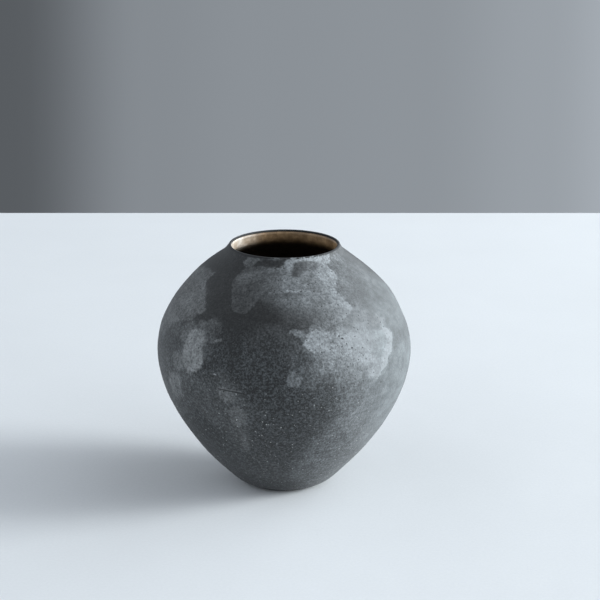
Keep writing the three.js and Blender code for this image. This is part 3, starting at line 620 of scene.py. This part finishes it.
# ---------------------------------------------------------------- slip material
def slip_material():
    g = Graph("slip_matt_dark")
    x, y, z = g.xyz()
    grain = g.noise(900, 2.0, 0.65)
    grain2 = g.noise(540, 2.5, 0.62, g.scaled((1, 1, 1), (0.31, 0.17, 0.05)))
    mott = g.noise(200, 3.0, 0.6, g.scaled((1, 1, 1.1), (0.13, 0.42, 0.3)))
    blot = g.noise(85, 3.0, 0.6, g.scaled((1, 1, 1.25), (0.07, 0.02, 0.4)))
    cloud = g.noise(24, 3.0, 0.55, g.scaled((1, 1, 1.4), (0.5, 0.1, 0.2)))
    drag = g.noise(60, 3.0, 0.65, g.scaled((0.55, 0.55, 9.0), (0.2, 0.3, 0.1)))
    jag = g.noise(330, 3.0, 0.65, g.scaled((1, 1, 1), (0.9, 0.4, 0.7)))

    fret = g.add(g.mul(centred(g, jag), 1.6), g.mul(centred(g, grain2), 0.5))
    wander = g.add(fret, g.mul(centred(g, blot), 1.6))

    def coverage(name):
        dist, dens, soft = g.attribute(name)
        moved = g.add(dist, g.mul(wander, g.step(soft, 0.15, 0.65, 0.1, 1.0)))
        t = g.math("DIVIDE", moved, g.mul(soft, 2.0))
        t = g.math("ADD", t, 0.5, clamp=True)
        t = g.mul(g.mul(t, t), g.sub(3.0, g.mul(t, 2.0)))
        rim = g.mul(g.step(moved, -0.2, 0.5), g.step(moved, 0.7, 2.6, 1.0, 0.0))
        rim = g.mul(rim, g.step(soft, 0.7, 1.3, 1.0, 0.0))
        return g.mul(t, dens), g.mul(rim, dens), t

    w_a, rim_a, t_a = coverage("wash_a")
    w_b, rim_b, t_b = coverage("wash_b")
    w_c, rim_c, t_c = coverage("wash_c")
    w_d, rim_d, t_d = coverage("wash_d")
    w_e, rim_e, t_e = coverage("wash_e")
    w_g, rim_g, t_g = coverage("wash_g")
    w_n, rim_n, t_n = coverage("wash_n")
    # The C and G layers also carry the pale hazes of painted light on the right side and left edge.
    clear = g.mul(g.mul(g.sub(1.0, w_a), g.sub(1.0, w_b)), g.mul(g.sub(1.0, w_c), g.sub(1.0, w_d)))
    clear = g.mul(clear, g.mul(g.sub(1.0, w_e), g.sub(1.0, w_g)))
    w = g.sub(1.0, clear)
    w = g.add(w, g.add(g.mul(rim_b, 0.24), g.add(g.mul(rim_a, 0.21), g.mul(rim_d, 0.21))))
    w = g.mul(w, g.sub(1.0, w_n))
    worn = g.math("MULTIPLY", g.step(blot, 0.25, 0.75, 0.70, 1.26), g.step(mott, 0.25, 0.75, 0.74, 1.26))
    worn = g.math("MULTIPLY", worn, g.step(drag, 0.3, 0.7, 0.92, 1.08))
    w = g.math("MULTIPLY", w, worn, clamp=True)

    # grain shows where the slip is thin: under the washes and low on the pot
    low = g.step(z, 0.130, 0.104)
    show = g.math("ADD", g.mul(low, 0.85), g.mul(w, 2.4), clamp=True)
    show = g.math("ADD", g.mul(show, 0.62), 0.38, clamp=True)
    speck = g.add(g.mul(centred(g, grain), 1.1), g.mul(centred(g, grain2), 1.0))
    speck = g.mul(speck, g.mul(g.step(x, 0.030, 0.066, 1.0, 0.3), g.step(z, 0.002, 0.014, 0.55, 1.0)))
    smooth = g.mul(g.step(x, 0.026, 0.044), g.step(z, 0.100, 0.116))
    speck = g.mul(speck, g.sub(1.0, g.mul(smooth, 0.5)))
    base_tone = g.add(1.0, g.add(g.mul(centred(g, cloud), 0.5), g.mul(centred(g, blot), 0.5)))
    base_tone = g.add(base_tone, g.mul(speck, g.mul(show, 4.6)))
    base_tone = g.mul(base_tone, g.sub(1.0, g.mul(w_n, 0.5)))
    base_tone = g.math("MAXIMUM", base_tone, 0.12)
    base = g.tint(g.mix(low, (BASE_HI[0], BASE_HI[1], BASE_HI[2], 1), (BASE_LO[0], BASE_LO[1], BASE_LO[2], 1)), base_tone)
    wash_tone = g.math("MAXIMUM", g.add(1.0, g.mul(speck, 0.85)), 0.15)
    # a little warmer at the left and cooler at the right
    hue = g.mix(g.step(x, -0.030, 0.006), (0.211, 0.216, 0.2145, 1), (WASH[0], WASH[1], WASH[2], 1))
    thin = g.sub(1.0, g.math("MAXIMUM", t_d, t_e))
    hue = g.mix(g.mul(g.step(x, 0.040, 0.070), thin), hue, (0.199, 0.218, 0.2235, 1))
    wash = g.tint(hue, wash_tone)
    colour = g.mix(w, base, wash)

    # pale clay grains, and dark pits where a grain has dropped out
    d1, r1, q1 = g.cells(450, (0.11, 0.23, 0.37))
    size1 = g.mul(g.add(0.20, g.mul(r1, 0.42)), 0.001)
    grog = g.step(d1, size1, g.mul(size1, 0.55))
    strong1 = g.mul(g.mul(q1, q1), q1)
    grog = g.mul(grog, g.mul(g.add(0.10, g.mul(strong1, 0.95)), g.step(z, 0.122, 0.058)))
    calm = g.mul(g.step(x, 0.034, 0.070, 1.0, 0.35), g.step(y, -0.04, 0.02, 1.0, 0.65))
    grog = g.mul(grog, calm)
    d2, r2, q2 = g.cells(390, (0.61, 0.43, 0.17))
    size2 = g.mul(g.add(0.30, g.mul(r2, 0.42)), 0.001)
    pit = g.step(d2, size2, g.mul(size2, 0.55))
    pit = g.mul(pit, g.math("MAXIMUM", g.mul(w, 1.8), g.step(z, 0.122, 0.092)))
    pit = g.math("MULTIPLY", pit, g.mul(g.add(0.28, g.mul(q2, 0.85)), g.step(x, 0.046, 0.070, 1.0, 0.3)), clamp=True)
    d3, r3, q3 = g.cells(800, (0.21, 0.83, 0.57))
    size3 = g.mul(g.add(0.20, g.mul(r3, 0.30)), 0.001)
    fine = g.step(d3, size3, g.mul(size3, 0.4))
    fine = g.mul(fine, g.mul(g.mul(q3, q3), show))
    colour = g.mix(g.math("MULTIPLY", grog, 0.9, clamp=True), colour, (0.44, 0.45, 0.44, 1))
    colour = g.mix(g.mul(fine, 0.5), colour, (0.20, 0.21, 0.21, 1))
    colour = g.mix(g.mul(pit, 0.9), colour, (0.004, 0.004, 0.004, 1))
    # a few handling marks on the front: a long scratch with a raised pale edge, short nicks, one chip
    front = g.step(y, 0.0, -0.01)
    for x0, z0, x1, z1, wide, value, much in MARKS:
        mark = g.mul(g.step(g.segment(x, z, x0, z0, x1, z1, jag), wide, wide * 0.3), g.mul(front, much))
        colour = g.mix(mark, colour, (value, value * 1.02, value * 1.03, 1))
    # the lip itself is black, and worn back to the wash in places at the front
    lip = g.step(g.add(z, g.mul(centred(g, jag), 0.0007)), 0.1558, 0.1563)
    spots = g.step(g.add(g.mul(jag, 0.6), g.mul(grain, 0.4)), 0.44, 0.54)
    where = g.mul(g.step(y, -0.012, -0.022), g.mul(g.step(x, -0.016, -0.002), g.step(x, 0.030, 0.022)))
    lip = g.mul(lip, g.sub(1.0, g.mul(g.mul(where, spots), 0.85)))
    colour = g.mix(lip, colour, (0.006, 0.006, 0.007, 1))
    g.put(g.bsdf.inputs["Base Color"], colour)

    rough = g.add(ROUGH, g.add(g.mul(w, 0.10), g.mul(centred(g, grain2), 0.06)))
    rough = g.math("ADD", rough, g.mul(lip, 0.1), clamp=True)
    g.put(g.bsdf.inputs["Roughness"], rough)
    g.bsdf.inputs["IOR"].default_value = 1.5
    g.bsdf.inputs["Specular IOR Level"].default_value = SPEC
    g.bsdf.inputs["Sheen Weight"].default_value = SHEEN
    g.bsdf.inputs["Sheen Roughness"].default_value = SHEEN_ROUGH

    h = g.mul(centred(g, grain), g.mul(show, 0.7))
    h = g.add(h, g.mul(centred(g, grain2), g.mul(show, 1.2)))
    h = g.add(h, g.add(g.mul(grog, 1.0), g.mul(pit, -2.6)))
    h = g.add(h, g.mul(t_b, 0.5))
    h = g.add(h, g.mul(centred(g, drag), 0.4))
    g.put(g.bsdf.inputs["Normal"], g.bump(h, 0.00005))
    return g.mat


# ---------------------------------------------------------------- glaze and clay
def liner_material():
    g = Graph("glaze_tan")
    x, y, z = g.xyz()
    blot = g.noise(150, 3.5, 0.62)
    run = g.noise(120, 3.0, 0.6, g.scaled((1.6, 1.6, 0.35), (0.3, 0.6, 0.2)))
    fleck = g.noise(620, 2.0, 0.6)
    d1, r1, q1 = g.cells(330, (0.4, 0.1, 0.9))
    iron = g.mul(g.step(d1, 0.0006, 0.0002), g.step(q1, 0.35, 0.8))
    tone = g.add(1.0, g.add(g.mul(centred(g, blot), 0.55), g.mul(centred(g, run), 0.45)))
    tone = g.mul(tone, g.add(1.0, g.mul(centred(g, fleck), 0.25)))
    # Painted light: the tan is much paler on the left of the inside, where the window light falls, and the rich tan is
    # darker at the back and lighter toward the right wall.
    rich = g.mix(g.step(blot, 0.35, 0.7), (0.215, 0.131, 0.062, 1), (0.32, 0.208, 0.112, 1))
    lit_tan = g.mix(g.step(blot, 0.35, 0.7), (0.45, 0.36, 0.275, 1), (0.61, 0.54, 0.465, 1))
    rich = g.tint(rich, g.step(x, 0.0, 0.026, 0.9, 1.15))
    lit_left_side = g.step(g.add(x, g.mul(centred(g, run), 0.006)), -0.012, -0.031)
    pale = g.mix(lit_left_side, rich, lit_tan)
    painted_shade_band = g.step(g.add(z, g.mul(lit_left_side, 0.0027)), 0.1536, 0.1446)
    colour = g.tint(pale, tone)
    colour = g.mix(g.mul(iron, 0.55), colour, (0.10, 0.045, 0.02, 1))
    # painted shade: nearly black under the shoulder, standing in for the shade inside the pot, then tan again lower
    # down: both depths are guesses
    under = g.mix(g.step(z, 0.112, 0.088), (0.022, 0.015, 0.010, 1), (0.28, 0.20, 0.13, 1))
    colour = g.mix(painted_shade_band, colour, g.tint(under, tone))
    g.put(g.bsdf.inputs["Base Color"], colour)
    g.put(g.bsdf.inputs["Roughness"], g.step(blot, 0.3, 0.7, 0.46, 0.34))
    g.bsdf.inputs["IOR"].default_value = 1.5
    h = g.add(g.mul(centred(g, blot), 1.0), g.mul(centred(g, fleck), 0.3))
    g.put(g.bsdf.inputs["Normal"], g.bump(h, 0.00006))
    return g.mat


def clay_material():
    g = Graph("clay_bare")
    grain = g.noise(700, 3.0, 0.65)
    blot = g.noise(90, 3.0, 0.6)
    d1, r1, q1 = g.cells(420, (0.2, 0.5, 0.8))
    grog = g.mul(g.step(d1, 0.00045, 0.00018), g.step(q1, 0.4, 0.7))
    tone = g.add(1.0, g.add(g.mul(centred(g, grain), 0.4), g.mul(centred(g, blot), 0.35)))
    colour = g.tint((0.16, 0.115, 0.085), tone)
    colour = g.mix(g.mul(grog, 0.6), colour, (0.36, 0.29, 0.22, 1))
    # painted shade: the foot's outer edge, where it meets the floor, is darkened nearly black for the contact shade
    # there
    x, y, z = g.xyz()
    reach = g.math("SQRT", g.add(g.mul(x, x), g.mul(y, y)))
    contact_shade = g.step(g.add(reach, g.mul(centred(g, blot), 0.0012)), 0.0208, 0.0232)
    colour = g.mix(g.mul(contact_shade, 0.94), colour, (0.012, 0.0115, 0.011, 1))
    g.put(g.bsdf.inputs["Base Color"], colour)
    g.put(g.bsdf.inputs["Roughness"], g.step(grain, 0.3, 0.7, 0.78, 0.9))
    h = g.add(g.mul(centred(g, grain), 1.0), g.mul(grog, 0.8))
    g.put(g.bsdf.inputs["Normal"], g.bump(h, 0.00008))
    return g.mat


# from and to (x, z), half width, albedo, strength; metres
MARKS = [
    (-0.039, 0.08523, -0.02478, 0.0846, 0.00055, 0.004, 0.9),
    (-0.03949, 0.08615, -0.0255, 0.08547, 0.00045, 0.13, 0.55),
    (-0.07044, 0.08457, -0.06434, 0.08349, 0.00045, 0.17, 0.6),
    (-0.06795, 0.08648, -0.06487, 0.08134, 0.00035, 0.15, 0.5),
    (-0.04164, 0.09401, -0.04072, 0.09395, 0.00055, 0.3, 0.8),
    (-0.04298, 0.09222, -0.04217, 0.09202, 0.00060, 0.004, 0.9),
    (-0.01586, 0.09075, -0.00815, 0.09079, 0.00040, 0.006, 0.6),
    (-0.04134, 0.11251, -0.03726, 0.11408, 0.00045, 0.12, 0.5),
    (-0.05127, 0.10979, -0.04857, 0.11237, 0.00040, 0.22, 0.5),
    (0.03486, 0.11552, 0.03578, 0.11506, 0.00060, 0.004, 0.9),
    (0.0027, 0.04235, 0.00634, 0.0409, 0.00030, 0.1, 0.4),
]
BASE_HI = (0.012, 0.0118, 0.0115)
BASE_LO = (0.0203, 0.0225, 0.0236)
WASH = (0.205, 0.216, 0.222)
SPEC = 0.42
SHEEN = 0.07
SHEEN_ROUGH = 0.7
ROUGH = 0.68

slip.data.materials.append(slip_material())
liner.data.materials.append(liner_material())
body.data.materials.append(clay_material())

for piece, node, slot in ((slip, "outer_slip", "slip"), (liner, "liner_glaze", "liner"), (body, "stoneware_body", "stoneware")):
    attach(piece, "root")
    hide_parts(node)


# ---------------------------------------------------------------- floor
def floor_material():
    g = Graph("cloth_pale")
    soft = g.noise(9, 3.0, 0.5)
    fold = g.noise(26, 3.0, 0.6, g.scaled((1, 1.6, 1), (0.4, 0.2, 0)))
    weave = g.noise(560, 2.0, 0.6)
    tone = g.add(1.0, g.add(g.mul(centred(g, soft), 0.03), g.mul(centred(g, weave), 0.045)))
    g.put(g.bsdf.inputs["Base Color"], g.tint((0.750, 0.754, 0.758), tone))
    g.bsdf.inputs["Roughness"].default_value = 0.9
    g.bsdf.inputs["Specular IOR Level"].default_value = 0.2
    h = g.add(g.mul(centred(g, fold), 1.0), g.mul(centred(g, weave), 0.05))
    g.put(g.bsdf.inputs["Normal"], g.bump(h, 0.0001))
    return g.mat


me = bpy.data.meshes.new("floor")
me.from_pydata([(-2.6, -3.2, 0), (2.6, -3.2, 0), (2.6, 0.677, 0), (-2.6, 0.677, 0)], [], [(0, 1, 2, 3)])
floor = bpy.data.objects.new("floor", me)
scene.collection.objects.link(floor)
me.materials.append(floor_material())

# ---------------------------------------------------------------- light
world = bpy.data.worlds.new("studio")
scene.world = world
world.use_nodes = True
wn = world.node_tree
bg = wn.nodes["Background"]
tc = wn.nodes.new("ShaderNodeTexCoord")
sep = wn.nodes.new("ShaderNodeSeparateXYZ")
wn.links.new(tc.outputs["Generated"], sep.inputs[0])
WORLD = {'stops': [(0.0, 0.66), (0.3, 0.62), (0.39, 0.1), (0.41, 0.1), (0.43, 0.11), (0.462, 0.262), (0.49, 0.285), (0.53, 0.3), (0.56, 0.355), (0.585, 0.45), (0.64, 0.6), (1.0, 0.8)], 'all': 0.068, 'top': 0.0, 'front': 0.25, 'right': 1.5, 'left': 0.82, 'back': 0.08, 'strength': 1.0}


def wmath(op, a, b):
    n = wn.nodes.new("ShaderNodeMath")
    n.operation = op
    for i, v in enumerate((a, b)):
        if isinstance(v, bpy.types.NodeSocket):
            wn.links.new(v, n.inputs[i])
        else:
            n.inputs[i].default_value = v
    return n.outputs[0]


def wstep(x, lo, hi, a, b):
    n = wn.nodes.new("ShaderNodeMapRange")
    n.interpolation_type = "SMOOTHSTEP"
    wn.links.new(x, n.inputs["Value"])
    for k, v in zip(("From Min", "From Max", "To Min", "To Max"), (lo, hi, a, b)):
        n.inputs[k].default_value = v
    return n.outputs["Result"]


# A grey wall, darker to the left, stands behind below the horizon. Above it the
# room is lit from a wide window on the right, and weakly from the other sides.
ramp = wn.nodes.new("ShaderNodeValToRGB")
ramp.color_ramp.interpolation = "EASE"
stops = WORLD["stops"]
while len(ramp.color_ramp.elements) < len(stops):
    ramp.color_ramp.elements.new(0.5)
for e, (at, v) in zip(ramp.color_ramp.elements, stops):
    e.position = at
    e.color = (v, v, v, 1)
wn.links.new(wmath("ADD", wmath("MULTIPLY", sep.outputs[0], 0.5), 0.5), ramp.inputs[0])
X, Y, Z = sep.outputs
parts = {
    "all": WORLD["all"],
    "top": wstep(Z, 0.30, 0.90, 0.0, WORLD["top"]),
    "front": wstep(Y, 0.0, -0.8, 0.0, WORLD["front"]),
    "right": wstep(X, 0.1, 0.8, 0.0, WORLD["right"]),
    "left": wstep(X, -0.1, -0.8, 0.0, WORLD["left"]),
    "back": wstep(Y, 0.0, 0.8, 0.0, WORLD["back"]),
}
upper = wmath("ADD", parts["top"], parts["all"])
for k in ("front", "right", "left", "back"):
    upper = wmath("ADD", upper, parts[k])
sky = wstep(Z, -0.10, 0.02, 0.0, 1.0)
level = wmath("ADD", wmath("MULTIPLY", upper, sky), wmath("MULTIPLY", ramp.outputs[0], wmath("SUBTRACT", 1.0, sky)))
tint = wn.nodes.new("ShaderNodeVectorMath")
tint.operation = "SCALE"
tint.inputs[0].default_value = (0.90, 0.985, 1.08)
wn.links.new(level, tint.inputs["Scale"])
wn.links.new(tint.outputs[0], bg.inputs["Color"])
bg.inputs["Strength"].default_value = WORLD["strength"]


def area(name, size, power, azimuth, elevation, distance, colour, target=(0, 0, 0.07)):
    """A soft rectangular light that faces the vase. Azimuth 0 is straight right, 90 is behind."""
    data = bpy.data.lights.new(name, "AREA")
    data.shape = "RECTANGLE"
    data.size, data.size_y = size
    data.energy = power
    data.color = colour
    ob = bpy.data.objects.new(name, data)
    a, e = math.radians(azimuth), math.radians(elevation)
    pos = (
        target[0] + distance * math.cos(e) * math.cos(a),
        target[1] + distance * math.cos(e) * math.sin(a),
        target[2] + distance * math.sin(e),
    )
    ob.location = pos
    from mathutils import Vector

    ob.rotation_euler = (Vector(target) - Vector(pos)).to_track_quat("-Z", "Y").to_euler()
    scene.collection.objects.link(ob)
    return ob


for args in [('window', (1.24, 2.0), 276.0, 1.5, 13.0, 4.0, (0.912, 0.975, 1.005)), ('window_far', (1.1, 0.62), 6.0, 50.0, 6.9, 2.0, (0.912, 0.975, 1.005))]:
    area(*args)

scene.view_settings.view_transform = "Standard"
scene.view_settings.look = "None"
